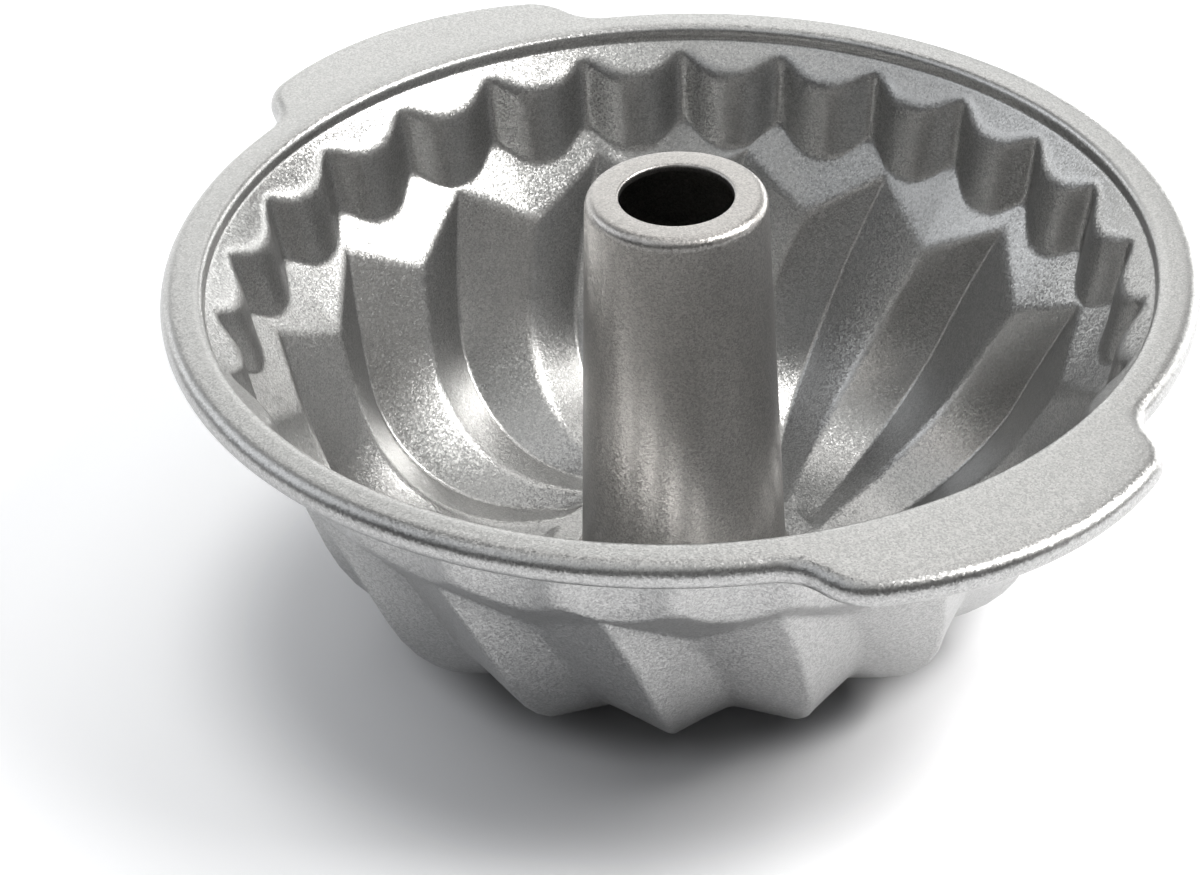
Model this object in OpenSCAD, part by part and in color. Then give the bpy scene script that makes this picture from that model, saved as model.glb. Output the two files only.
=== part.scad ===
// Fluted tube pan: a pressed steel ring pan with two flange handles, a scalloped band and spiral flutes.
// Millimetres, +Z up. The origin is on the tube's axis, in the plane that the pan stands on, and the
// handles lie along X.

/* [Sheet and rim] */
// Thickness of the pressed sheet
sheet = 1; // [0.8:0.1:1.4]
// Diameter of the round rim, over the bead and without the handles
rim_d = 260; // [245:1:285]
// Height of the flange's top face above the table
pan_h = 98.5; // [90:0.5:108]
// Diameter of the rolled bead round the edge
bead_d = 7.2; // [6.4:0.1:8.4]
// How far round the bead is rolled, in degrees from its top
curl_a = 290; // [270:5:300]
// Width of the flange, from the opening to the outside of the bead
flange_w = 11; // [10:0.5:13]
// Radius of the bend where the flange turns down into the opening
flange_bend_r = 1.2; // [0.8:0.1:2]
// Depth of the upright step inside the opening
step_h = 3.9; // [3:0.1:6]

/* [Handles] */
// How far a handle's middle stands out past the round rim
handle_reach = 17.8; // [14:0.2:22]
// How much nearer the rim its outer edge lies at the sides than at the middle
handle_crown = 6; // [3:0.5:8]
// Angle at the pan's centre from a handle's middle to the middle of its side curve
handle_half_a = 20.4; // [17:0.2:24]
// Length of the side curve, from the handle's edge to the round rim
handle_side_w = 22.5; // [20:0.5:25]

/* [Scalloped band] */
// Number of scallops round the band
scallops = 26; // [20:2:32]
// Width of the sloping ledge between the step and the band
ledge_w = 6; // [5:0.5:8]
// Slope of that ledge below the level
ledge_a = 40; // [25:1:50]
// Height of the band
band_h = 20.5; // [16:0.5:24]
// Lean of the band from the upright
band_lean_a = 9.7; // [6:0.1:14]
// Depth of a scallop, from the bulge to the cusp
scallop_depth = 5; // [3:0.2:6]
// How much sharper the cusps are than the bulges, as a share of the depth
cusp_share = 0.1; // [0:0.01:0.15]

/* [Flutes] */
// Number of spiral flutes
flutes = 16; // [12:2:20]
// Width of the plain strip between the band and the valleys' ends
flute_margin = 0.6; // [0.4:0.1:1.5]
// Width of the pointed ends, from the valleys' ends in to the ridges' ends
point_w = 9.4; // [7:0.2:12]
// Slope of the pointed ends below the level
point_a = 51; // [42:1:58]
// Lean of the valleys' walls from the upright
valley_lean_a = 18.5; // [15:0.5:24]
// Lean of the ridges' walls from the upright
ridge_lean_a = 21.3; // [17:0.1:26]
// Radius of the valleys' bend from the wall to the floor
valley_bend_r = 45.5; // [36:0.5:52]
// Radius of the ridges' bend from the wall to the floor
ridge_bend_r = 50; // [38:0.5:54]
// Height of the ridges above the valleys on the floor
floor_ridge_h = 2.3; // [1.5:0.1:4]
// Slant of a flute to the upright at its pointed end
slant_top_a = 17.5; // [8:0.5:26]
// Slant of a flute at the tube's foot, to the other side
slant_foot_a = 38.8; // [20:0.2:48]
// How late along a flute its slant turns over
slant_late = 2.18; // [1.5:0.02:3]
// Place of the ridge between two valleys, as a share of their spacing
ridge_share = 0.52; // [0.4:0.01:0.6]
// Half width of the rounding on ridges and valleys, as a share of a facet
crease_share = 0.09; // [0.05:0.01:0.15]
// Height of the lowest part of the valleys that is pressed flat for the pan to stand on
foot_press_h = 0.45; // [0.4:0.05:0.6]

/* [Turn of the patterns] */
// Turn of the valleys' ends from the handles' line
flute_turn_a = 1.5; // [-5:0.5:5]
// Turn of the bulges from the handles' line
scallop_turn_a = 0.6; // [-6:0.2:6]

/* [Centre tube] */
// Height of the tube's top above the flange
tube_rise = 17.5; // [10:0.5:25]
// Outside diameter of the tube under its top
tube_top_d = 44; // [40:0.5:48]
// Outside diameter of the tube above its foot
tube_foot_d = 54.6; // [50:0.2:60]
// Diameter of the hole in the tube's top
hole_d = 28; // [24:0.5:32]
// Length of the hole's turned-down collar
collar_h = 4.5; // [3:0.5:8]
// Radius of the tube's top edge
tube_edge_r = 2.6; // [1.5:0.1:4]
// Width of the shoulder that the tube stands on
shoulder_w = 2.2; // [1.5:0.1:3]
// Height of the flare above the shoulder
flare_h = 5; // [3:0.5:8]
// Width of the flange that clinches the tube under the floor
clinch_w = 5; // [3:0.2:6]
// Width of the level floor ring round the tube's shoulder
floor_ring_w = 7.4; // [5:0.2:9]
// Height of the clinched flange above the table
clinch_clear = 0.55; // [0.3:0.05:1]

/* [Fits] */
// Gap between the tube and the floor at the clinched seam
seam_gap = 0.05; // [0.02:0.01:0.1]
// Gap between the tube's neck and the hole that it passes through
neck_gap = 0.15; // [0.1:0.05:0.3]
// Gap between the wire and the bead that is rolled round it
wire_gap = 0.1; // [0.05:0.05:0.25]

/* [Hidden] */

coat_grey = [0.60, 0.60, 0.59];
wire_grey = [0.45, 0.46, 0.47];

// facets
wall_stations = 4;
bend_stations = 6;
floor_stations = 2;
path_stations = wall_stations + bend_stations + floor_stations;
path_substeps = 4;
scallop_facets = 6;
curl_facets = 8;
wire_sides = 6;
edge_columns = 5;
side_columns = 9;
rim_columns = 14;
side_margin_a = 1;
tangent_step_a = 0.05;
arc_facets = 8;
flare_facets = 4;
tube_facets = 144;

// rim and bead
rim_r = rim_d / 2;
bead_r = bead_d / 2;
opening_r = rim_r - flange_w;
curl_facet_a = curl_a / curl_facets;
wire_r = (bead_r - sheet) * cos(curl_facet_a / 2) - wire_gap;

// ledge, band and pointed ends, from the rim inwards and down
step_z = pan_h - step_h;
band_top_r = opening_r - ledge_w;
band_top_z = step_z - ledge_w * tan(ledge_a);
band_foot_r = band_top_r - band_h * tan(band_lean_a);
band_foot_z = band_top_z - band_h;
wave = scallop_depth / 2;
cusp_wave = scallop_depth * cusp_share;
bulge_in = wave - cusp_wave;
valley_end_r = band_foot_r - bulge_in - flute_margin;
ridge_end_r = valley_end_r - point_w;
flute_pitch_a = 360 / flutes;

// tube and floor ring
tube_foot_r = tube_foot_d / 2;
tube_top_r = tube_top_d / 2;
hole_r = hole_d / 2;
shoulder_r = tube_foot_r + shoulder_w;
floor_hole_r = tube_foot_r + neck_gap;
floor_ring_r = shoulder_r + floor_ring_w;
floor_ring_z = clinch_clear + 2 * sheet + seam_gap;
tube_z = pan_h + tube_rise;

function clamp01(u) = max(0, min(1, u));
function wrap(a) = a < 0 ? a + 360 : a;
function ring_point(r, a, z) = [r * cos(a), r * sin(a), z];
function mix(a, b, share) = a + (b - a) * share;
// offset of a corner between two faces, from their unit normals in the section
function miter(n1, n2) = (n1 + n2) / (1 + n1 * n2);
function slope_normal(a) = [sin(a), -cos(a)];
function lean_normal(a) = [cos(a), -sin(a)];

// Outline of the rim: the side of a handle is an S of two equal arcs
function side_step(u) =
    let (fall = handle_reach - handle_crown,
         rho = (handle_side_w * handle_side_w + fall * fall) / (4 * fall),
         t = handle_side_w * min(u, 1 - u),
         dip = (rho - sqrt(rho * rho - t * t)) / fall)
    u < 0.5 ? 1 - dip : dip;

handle_side_a = handle_side_w / (rim_r + handle_reach) * 180 / PI;
side_start_a = handle_half_a - handle_side_a / 2;
side_end_a = handle_half_a + handle_side_a / 2;

function outline_r(a) =
    let (off = abs(((a + 450) % 180) - 90),
         u = clamp01((off - side_start_a) / (side_end_a - side_start_a)),
         share = off / handle_half_a)
    rim_r + (handle_reach - handle_crown * share * share) * side_step(u);
function outline_point(a) = ring_point(outline_r(a), a, 0);
function outline_normal(a) =
    let (t = outline_point(a + tangent_step_a) - outline_point(a - tangent_step_a))
    [t.y, -t.x, 0] / norm(t);

// Columns round the rim: close together on the handles' sides, and the same in each quarter
fine_end_a = side_end_a + side_margin_a;
quarter_a = concat(
    [for (i = [0:edge_columns - 1]) side_start_a * i / edge_columns],
    [for (i = [0:side_columns - 1]) mix(side_start_a, fine_end_a, i / side_columns)],
    [for (i = [0:rim_columns - 1]) mix(fine_end_a, 90, i / rim_columns)]);
mirrored_a = [for (i = [len(quarter_a) - 1:-1:1]) 180 - quarter_a[i]];
half_a = concat(quarter_a, [90], mirrored_a);
rim_a = concat(half_a, [for (a = half_a) a + 180]);

// A ring of points at one radius and height, or along the rim's outline at a place in the bead's section
function round_ring(r, z) = [for (a = rim_a) ring_point(r, a, z)];
function bead_ring(r, turn) =
    [for (a = rim_a)
        outline_point(a) + outline_normal(a) * (r * sin(turn) - bead_r)
        + [0, 0, pan_h - bead_r + r * cos(turn)]];

// A ring round the scalloped band, on the sloping face that meets the band there
function band_r(mean_r, a) =
    let (t = scallops * (a - scallop_turn_a))
    mean_r - wave * cos(t) + cusp_wave * cos(2 * t);
function band_ring(mean_r, mean_z, slope_a, shift) =
    [for (i = [0:scallops * scallop_facets - 1])
        let (a = i * 360 / (scallops * scallop_facets), r = band_r(mean_r, a))
        ring_point(r + shift[0], a, mean_z + (r - mean_r) * tan(slope_a) + shift[1])];

// The section of a flute: a leaning wall, a bend and a level floor as far as the floor ring
function section(end_r, end_z, lean_a, full_bend_r, floor_z) =
    let (corner_r = end_r - (end_z - floor_z) * tan(lean_a),
         turn_a = 90 - lean_a,
         room = min(corner_r - floor_ring_r, (end_z - floor_z) / cos(lean_a)),
         bend_r = min(full_bend_r, room / tan(turn_a / 2)),
         tangent = bend_r * tan(turn_a / 2),
         wall = (end_z - floor_z) / cos(lean_a) - tangent,
         arc = bend_r * turn_a * PI / 180)
    [end_r, end_z, lean_a, floor_z, corner_r, bend_r, tangent, wall, arc,
     corner_r - tangent - floor_ring_r];
function section_length(s) = s[7] + s[8] + s[9];
// Distance along the section to a station: evenly spaced on the wall, on the bend and on the floor
function station_at(s, k) =
    s[7] * min(1, k / wall_stations)
    + s[8] * clamp01((k - wall_stations) / bend_stations)
    + s[9] * max(0, (k - wall_stations - bend_stations) / floor_stations);
// Radius, height and the face's angle from the upright, at a distance along the section
function section_point(s, d) =
    d < s[7] ? [s[0] - d * sin(s[2]), s[1] - d * cos(s[2]), s[2]]
    : d < s[7] + s[8]
    ? let (a = s[2] + (d - s[7]) / s[5] * 180 / PI)
      [s[4] - s[6] + s[5] * cos(a), s[3] + s[5] - s[5] * sin(a), a]
    : [s[4] - s[6] - (d - s[7] - s[8]), s[3], 90];

// Slant of a flute, and the turn round the axis that it adds up to by each station
function slant(u) = slant_top_a - (slant_top_a + slant_foot_a) * pow(u, slant_late);
function turn_rate(s, d) = tan(slant(d / section_length(s))) / section_point(s, d)[0] * 180 / PI;
function station_turn(s, from, to) =
    let (step = (to - from) / path_substeps,
         rates = [for (i = [0:path_substeps - 1]) turn_rate(s, from + (i + 0.5) * step)])
    step * (rates * [for (r = rates) 1]);
function flute_turns(s) =
    [for (k = 0, a = 0; k <= path_stations;
          a = a + station_turn(s, station_at(s, k), station_at(s, k + 1)), k = k + 1) a];

// Stations along a flute's line as [radius, angle, height], on the inner or the outer face of the sheet
function flute_line(s, start_a, thickness) =
    let (turns = flute_turns(s))
    [for (k = [0:path_stations])
        let (p = section_point(s, station_at(s, k)),
             n = k == 0 ? miter(slope_normal(point_a), lean_normal(p[2])) : lean_normal(p[2]),
             z = k == path_stations ? floor_ring_z : p[1])
        [p[0] + n[0] * thickness, start_a + turns[k], z + n[1] * thickness]];

valley_end_z = band_foot_z - (band_foot_r - valley_end_r) * tan(point_a);
ridge_end_z = band_foot_z - (band_foot_r - ridge_end_r) * tan(point_a);
valley_section = section(valley_end_r, valley_end_z, valley_lean_a, valley_bend_r, sheet);
ridge_section = section(ridge_end_r, ridge_end_z, ridge_lean_a, ridge_bend_r, sheet + floor_ridge_h);

// A ring across all flutes at one station: each crease is a middle point between two at its sides
function flute_ring(valley, ridge, press) =
    [for (i = [0:flutes - 1])
        let (a = i * flute_pitch_a,
             before = ring_point(ridge[0], ridge[1] + a - flute_pitch_a, ridge[2]),
             low = ring_point(valley[0], valley[1] + a, valley[2]),
             high = ring_point(ridge[0], ridge[1] + a, ridge[2]),
             after = ring_point(valley[0], valley[1] + a + flute_pitch_a, valley[2]),
             low_side = mix(low, high, crease_share),
             high_side = mix(high, low, crease_share),
             next_side = mix(high, after, crease_share),
             last_side = mix(after, high, crease_share),
             low_mid = (low * 2 + low_side + mix(low, before, crease_share)) / 4,
             high_mid = (high * 2 + high_side + next_side) / 4)
        for (p = [low_mid, low_side, high_side, high_mid, next_side, last_side])
            p.z < press ? [p.x, p.y, 0] : p];
function flute_rings(thickness, press) =
    let (valleys = flute_line(valley_section, flute_turn_a, thickness),
         ridges = flute_line(ridge_section, flute_turn_a + ridge_share * flute_pitch_a, thickness))
    [for (k = [path_stations:-1:0]) flute_ring(valleys[k], ridges[k], press)];

// Rings round the whole section of the sheet: over the top from the floor's hole to the bead and round
// its curl, then back underneath
function hole_ring(z) =
    [for (p = flute_rings(0, 0)[0]) [p.x, p.y, 0] * floor_hole_r / norm([p.x, p.y]) + [0, 0, z]];
function reversed(list) = [for (i = [len(list) - 1:-1:0]) list[i]];

band_normal = lean_normal(band_lean_a);
band_foot_shift = miter(slope_normal(point_a), band_normal) * sheet;
band_top_shift = miter(band_normal, slope_normal(ledge_a)) * sheet;
step_shift = miter(slope_normal(ledge_a), [1, 0]) * sheet;

shell_rings = concat(
    [hole_ring(floor_ring_z)],
    flute_rings(0, 0),
    [band_ring(band_foot_r, band_foot_z, point_a, [0, 0]),
     band_ring(band_top_r, band_top_z, ledge_a, [0, 0]),
     round_ring(opening_r, step_z),
     round_ring(opening_r, pan_h - flange_bend_r),
     round_ring(opening_r + flange_bend_r, pan_h)],
    [for (i = [0:curl_facets]) bead_ring(bead_r, i * curl_facet_a)],
    [for (i = [curl_facets:-1:0]) bead_ring(bead_r - sheet, i * curl_facet_a)],
    [round_ring(opening_r + max(sheet, flange_bend_r), pan_h - sheet),
     round_ring(opening_r + step_shift[0], step_z + step_shift[1]),
     band_ring(band_top_r, band_top_z, ledge_a, band_top_shift),
     band_ring(band_foot_r, band_foot_z, point_a, band_foot_shift)],
    reversed(flute_rings(sheet, foot_press_h)),
    [hole_ring(floor_ring_z - sheet)]);

// Triangles between two neighbouring rings, which may have different numbers of points
function first_column(ring) =
    let (n = len(ring), a = [for (p = ring) wrap(atan2(p.y, p.x))])
    [for (i = [0:n - 1]) if (a[i] < a[(i + n - 1) % n]) i][0];
function edge_middles(ring, first) =
    let (n = len(ring), a = [for (i = [0:n]) let (p = ring[(first + i) % n]) wrap(atan2(p.y, p.x))])
    [for (i = [0:n - 1]) (a[i] + a[i + 1] + (i == n - 1 ? 360 : 0)) / 2];
function stitch(ring1, at1, ring2, at2) =
    let (n1 = len(ring1), n2 = len(ring2), f1 = first_column(ring1), f2 = first_column(ring2),
         m1 = edge_middles(ring1, f1), m2 = edge_middles(ring2, f2))
    concat(
        [for (i = [0:n1 - 1])
            let (j = len([for (m = m2) if (m < m1[i]) 1]))
            [at1 + (f1 + i) % n1, at1 + (f1 + i + 1) % n1, at2 + (f2 + j) % n2]],
        [for (j = [0:n2 - 1])
            let (i = len([for (m = m1) if (m <= m2[j]) 1]))
            [at1 + (f1 + i) % n1, at2 + (f2 + j + 1) % n2, at2 + (f2 + j) % n2]]);
function weave(n, at1, at2) =
    [for (i = [0:n - 1])
        let (j = (i + 1) % n)
        each [[at1 + i, at1 + j, at2 + j], [at1 + i, at2 + j, at2 + i]]];
function starts(rings) = [for (i = 0, at = 0; i < len(rings); at = at + len(rings[i]), i = i + 1) at];

// A closed skin over rings that come back round to the first one
module ring_skin(rings) {
    at = starts(rings);
    n = len(rings);
    faces = [for (i = [0:n - 1])
        let (j = (i + 1) % n)
        each len(rings[i]) == len(rings[j])
            ? weave(len(rings[i]), at[i], at[j])
            : stitch(rings[i], at[i], rings[j], at[j])];
    polyhedron(points = [for (ring = rings) each ring], faces = faces, convexity = 10);
}

// The shell is one pressed sheet: flange and handles, step, ledge, scalloped band, flutes and floor
module pan_shell() {
    color(coat_grey)
        ring_skin(shell_rings);
}

// The wire lies in the bead and runs round both handles
module rim_wire() {
    color(wire_grey)
        ring_skin([for (i = [0:wire_sides - 1]) bead_ring(wire_r, i * 360 / wire_sides)]);
}

function arc_points(centre, r, from_a, to_a) =
    [for (i = [0:arc_facets])
        let (a = mix(from_a, to_a, i / arc_facets))
        centre + r * [cos(a), sin(a)]];
function tube_r(z) = mix(tube_foot_r, tube_top_r, (z - floor_ring_z) / (tube_z - floor_ring_z));

// The tube is drawn from one sheet: a turned-down hole, a level top, a tapering wall, and a foot that
// is folded into a shoulder above the floor and clinched under it
module centre_tube() {
    shoulder_z = floor_ring_z + seam_gap;
    under_z = floor_ring_z - sheet - seam_gap;
    flare_z = shoulder_z + sheet + flare_h;
    flare = [for (i = [0:flare_facets])
        let (t = i / flare_facets)
        [mix(shoulder_r, tube_r(flare_z), t * (2 - t)), mix(shoulder_z + sheet, flare_z, t * t)]];
    outside = concat(
        [[shoulder_r, shoulder_z]],
        flare,
        arc_points([tube_top_r - tube_edge_r, tube_z - tube_edge_r], tube_edge_r, 0, 90),
        arc_points([hole_r + sheet, tube_z - sheet], sheet, 90, 180),
        [[hole_r, tube_z - sheet - collar_h]]);
    inside = concat(
        [[hole_r + sheet, tube_z - sheet - collar_h],
         [hole_r + sheet, tube_z - sheet]],
        arc_points([tube_top_r - tube_edge_r, tube_z - tube_edge_r], tube_edge_r - sheet, 90, 0),
        [[tube_foot_r - sheet, shoulder_z],
         [tube_foot_r - sheet, under_z - sheet],
         [tube_foot_r + clinch_w, under_z - sheet],
         [tube_foot_r + clinch_w, under_z],
         [tube_foot_r, under_z],
         [tube_foot_r, shoulder_z]]);
    color(coat_grey)
        rotate_extrude($fn = tube_facets)
            polygon(concat(outside, inside));
}

pan_shell();
centre_tube();
rim_wire();
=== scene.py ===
# %% [markdown]
# A fluted tube pan: one sheet of steel, pressed into a ring-shaped bowl with sixteen spiral flutes under
# a band of twenty-six scallops, with a rolled rim that widens into two flat handles. A hollow cone
# stands in the middle. Everything has the same satin, speckled coating, so the look of the pan comes
# from its shape: how each facet turns towards the light or away from it.
#
# The solid model of the pan is the fixed frame. It is loaded first, and its boxes are read, because the
# pieces that are made here take their sizes from them. The pieces that are made here have to stay inside
# it.

# %% Load the frame
import math

import bpy
import numpy as np
from mathutils import Matrix, Vector


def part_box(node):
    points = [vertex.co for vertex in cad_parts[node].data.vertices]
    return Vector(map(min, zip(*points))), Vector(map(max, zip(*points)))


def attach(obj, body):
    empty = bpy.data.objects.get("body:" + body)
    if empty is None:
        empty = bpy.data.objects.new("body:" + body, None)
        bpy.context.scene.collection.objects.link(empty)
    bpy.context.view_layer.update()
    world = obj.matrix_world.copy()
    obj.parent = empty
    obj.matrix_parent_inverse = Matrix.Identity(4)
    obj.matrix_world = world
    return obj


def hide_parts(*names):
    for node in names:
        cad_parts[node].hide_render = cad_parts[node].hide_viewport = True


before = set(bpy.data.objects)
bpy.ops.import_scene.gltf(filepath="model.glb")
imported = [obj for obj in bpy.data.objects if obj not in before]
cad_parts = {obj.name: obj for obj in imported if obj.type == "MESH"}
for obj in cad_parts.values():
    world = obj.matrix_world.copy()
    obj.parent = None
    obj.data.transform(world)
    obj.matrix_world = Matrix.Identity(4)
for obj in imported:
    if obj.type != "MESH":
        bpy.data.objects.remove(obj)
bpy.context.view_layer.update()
_, shell_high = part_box("pan_shell")
_, tube_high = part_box("centre_tube")

MM = 0.001


def in_mm(corners):
    """Points in metres, given in millimetres and rounded for printing."""
    return [[round(v / MM, 2) for v in corner] for corner in corners]


# %% [markdown]
# The pan is worked out in millimetres, as it is on a drawing, and scaled to metres when a mesh is made.
# The heights of the rim and the tube and the length over the handles are read from the frame, so that
# a change there carries over.

# %% Sizes that the frame gives
SHEET = 1.0
HANDLE_REACH = 17.8
PAN_H = shell_high.z / MM
TUBE_Z = tube_high.z / MM
RIM_R = shell_high.x / MM - HANDLE_REACH
print("rim radius", round(RIM_R, 2), "rim height", round(PAN_H, 2), "tube height", round(TUBE_Z, 2))

# %% [markdown]
# The sheet is going to be one grid of points. A ring is an array of points that goes once round the pan,
# and every ring has the same number of columns, so that two rings one after the other make a band of
# four-sided faces. A few helpers make points from a radius, an angle and a height, because everything
# on a round pan is easiest to say that way.

# %% Helpers for angles and rings
TINY = 1e-12


def sin_d(a):
    return np.sin(np.radians(a))


def cos_d(a):
    return np.cos(np.radians(a))


def slope(a):
    """Millimetres up for each millimetre along, on a face that rises at a degrees."""
    return math.tan(math.radians(a))


def mix(a, b, share):
    return a + (b - a) * share


def ring(r, a, z):
    """Points at radius r, angle a in degrees and height z, any of which may be an array."""
    r, a, z = np.broadcast_arrays(np.asarray(r, float), np.asarray(a, float), np.asarray(z, float))
    return np.stack([r * cos_d(a), r * sin_d(a), z], axis=-1)


def unit(v):
    """The same directions, each of length one."""
    return v / np.maximum(np.linalg.norm(v, axis=-1, keepdims=True), TINY)


print("a ring of four points on the rim:", ring(RIM_R, np.arange(0, 360, 90), PAN_H).round(1).tolist())

# %% [markdown]
# The columns round the pan follow the flutes: each flute has a valley and a ridge, and between them lie
# two facets. A subdivision surface over a coarse cage could make such a form too, but it would soften
# every crease alike. A real press leaves the valleys tight and the ridges softer, so here the creases
# get columns of their own, close together, and the flat facets get wider ones.

# %% Columns across a flute
FLUTES = 16
FLUTE_TURN_A = 1.5
RIDGE_SHARE = 0.52
CREASE_COLUMNS = 5
FACET_COLUMNS = 10
CREASE_SHARE = 0.11
PITCH_A = 360 / FLUTES
FACETS = FLUTES * 2


def facet_steps():
    """Places across a facet, as shares of its width, without its far end."""
    side = np.linspace(0, CREASE_SHARE, CREASE_COLUMNS, endpoint=False)
    flat = np.linspace(CREASE_SHARE, 1 - CREASE_SHARE, FACET_COLUMNS, endpoint=False)
    return np.concatenate([side, flat, 1 - CREASE_SHARE + side])


STEPS = facet_steps()
COLUMNS = FACETS * len(STEPS)
column_facet = np.repeat(np.arange(FACETS), len(STEPS))
column_share = np.tile(STEPS, FACETS)
going_up = column_facet % 2 == 0
across_flute = np.where(going_up, RIDGE_SHARE * column_share, mix(RIDGE_SHARE, 1, column_share))
column_a = FLUTE_TURN_A + PITCH_A * (column_facet // 2 + across_flute)
print("columns round the pan:", COLUMNS)

# %% [markdown]
# Seen from above, the rim is a circle that steps out to a handle at each end. The side of a handle is an
# S made of two equal arcs, and the handle's own edge is a little flatter than a circle. Boolean cuts
# could trim such handles from a disc, but a formula for the radius keeps the grid whole, and the bead
# can then follow the same line.

# %% Outline of the rim with its two handles
HANDLE_CROWN = 6.0
HANDLE_HALF_A = 20.4
HANDLE_SIDE_W = 22.5
HANDLE_SIDE_A = math.degrees(HANDLE_SIDE_W / (RIM_R + HANDLE_REACH))
NORMAL_STEP_A = 0.05


def side_step(u):
    """How far out the side of a handle is, from 1 at its top to 0 on the circle, while u goes 0 to 1."""
    fall = HANDLE_REACH - HANDLE_CROWN
    arc_r = (HANDLE_SIDE_W**2 + fall**2) / (4 * fall)
    along = HANDLE_SIDE_W * np.minimum(u, 1 - u)
    dip = (arc_r - np.sqrt(arc_r**2 - along**2)) / fall
    return np.where(u < 0.5, 1 - dip, dip)


def outline_r(a):
    """Radius of the rim at angle a. The middles of the handles are at 0 and 180 degrees."""
    off = np.abs((a + 90) % 180 - 90)
    u = np.clip((off - HANDLE_HALF_A) / HANDLE_SIDE_A + 0.5, 0, 1)
    crown = HANDLE_CROWN * (off / HANDLE_HALF_A) ** 2
    return RIM_R + (HANDLE_REACH - crown) * side_step(u)


def outline(a):
    return ring(outline_r(a), a, 0)


def outline_normal(a):
    """The way straight out from the outline, in the plane of the rim."""
    along = outline(a + NORMAL_STEP_A) - outline(a - NORMAL_STEP_A)
    return unit(np.stack([along[:, 1], -along[:, 0], 0 * a], axis=-1))


rim_points = outline(column_a)
rim_normals = outline_normal(column_a)
for a in (0, 20, 30, 90):
    print("radius of the outline at", a, "degrees:", round(float(outline_r(a)), 1))

# %% [markdown]
# The edge of the sheet is rolled outwards into a bead, 7.2 mm across. A bevelled curve along the rim
# would make a bead as well, but as a separate tube with a seam beside the flange. Here its rings are
# found from the outline: so far out along the normal and so far up, turned about the middle of the
# bead's section. They have the same columns as the sheet, and so they join it.

# %% Rings of the bead
BEAD_R = 3.6


def bead_ring(r, turn_a):
    """A ring along the rim at radius r in the bead's section, turn_a degrees round from its top."""
    lift = np.array([0, 0, PAN_H - BEAD_R + r * cos_d(turn_a)])
    return rim_points + rim_normals * (r * sin_d(turn_a) - BEAD_R) + lift


print("the bead's outermost point, in mm:", round(float(bead_ring(BEAD_R, 90)[:, 0].max()), 2))

# %% [markdown]
# Cut through the middle, the bowl goes down from the flat flange in straight stretches: an upright step,
# a sloping ledge, the nearly upright scalloped band, and a sloping face that the flutes' pointed ends
# reach up to. Tracing this line point by point would give a list that nobody can change. The sizes of
# the stretches give the radius and height of each corner instead. The scallops swing in and out about
# the band's mean radius, and the flutes start a little inside the furthest one.

# %% Corners of the section, from the flange down
OPENING_R = 119.0
STEP_H = 3.9
LEDGE_W = 6.0
LEDGE_A = 40.0
BAND_H = 20.5
BAND_LEAN_A = 9.7
SCALLOP_DEPTH = 5.0
BULGE_SHARE = 0.4
FLUTE_MARGIN = 0.6
POINT_W = 9.4
POINT_A = 51.0

STEP_Z = PAN_H - STEP_H
BAND_TOP_R = OPENING_R - LEDGE_W
BAND_TOP_Z = STEP_Z - LEDGE_W * slope(LEDGE_A)
BAND_FOOT_R = BAND_TOP_R - BAND_H * slope(BAND_LEAN_A)
BAND_FOOT_Z = BAND_TOP_Z - BAND_H
VALLEY_END_R = BAND_FOOT_R - SCALLOP_DEPTH * BULGE_SHARE - FLUTE_MARGIN
RIDGE_END_R = VALLEY_END_R - POINT_W


def point_z(r):
    """Height of the sloping face that the band and the flutes' pointed ends meet on."""
    return BAND_FOOT_Z - (BAND_FOOT_R - r) * slope(POINT_A)


print("foot of the band at radius", round(BAND_FOOT_R, 1), "and height", round(BAND_FOOT_Z, 1))

# %% [markdown]
# Along its length a flute is a leaning wall, a bend and a level floor. The valleys and the ridges have
# the same kind of line, with other sizes, so one function makes both: it measures the three stretches,
# walks along them in fine steps, and gives the radius and height at each step.

# %% Section along a flute
VALLEY_LEAN_A = 18.5
RIDGE_LEAN_A = 21.3
VALLEY_BEND_R = 45.5
RIDGE_BEND_R = 50.0
FLOOR_RIDGE_H = 2.3
FLOOR_RING_R = 36.9
FINE_STEPS = 1200


def section_line(end_r, lean_a, bend_r, floor_z):
    """Distance, radius and height along a flute, from its pointed end to the floor ring."""
    end_z = point_z(end_r)
    corner_r = end_r - (end_z - floor_z) * slope(lean_a)
    turn_a = 90 - lean_a
    tangent = bend_r * slope(turn_a / 2)
    wall = (end_z - floor_z) / math.cos(math.radians(lean_a)) - tangent
    arc = bend_r * math.radians(turn_a)
    floor = corner_r - tangent - FLOOR_RING_R
    along = np.linspace(0, wall + arc + floor, FINE_STEPS)
    bend_a = lean_a + np.degrees(np.clip(along - wall, 0, arc) / bend_r)
    on_wall = np.minimum(along, wall)
    on_floor = np.maximum(along - wall - arc, 0)
    past_wall = along > wall
    r = end_r - on_wall * sin_d(lean_a)
    z = end_z - on_wall * cos_d(lean_a)
    r = np.where(past_wall, corner_r - tangent + bend_r * cos_d(bend_a) - on_floor, r)
    z = np.where(past_wall, floor_z + bend_r * (1 - sin_d(bend_a)), z)
    return along, r, z


valley_section = section_line(VALLEY_END_R, VALLEY_LEAN_A, VALLEY_BEND_R, SHEET)
ridge_section = section_line(RIDGE_END_R, RIDGE_LEAN_A, RIDGE_BEND_R, SHEET + FLOOR_RIDGE_H)
for name, section in (("valley", valley_section), ("ridge", ridge_section)):
    print("without its slant, a", name, "is", round(float(section[0][-1]), 1), "mm long")

# %% [markdown]
# While it runs down, a flute slants: it leans one way at its pointed end and the other way at the
# tube's foot, which gives the pan its swirl. Turning the whole section evenly would make plain spirals.
# Here the slant changes along the way, and it is added up step by step to get the turn round the axis.

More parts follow.
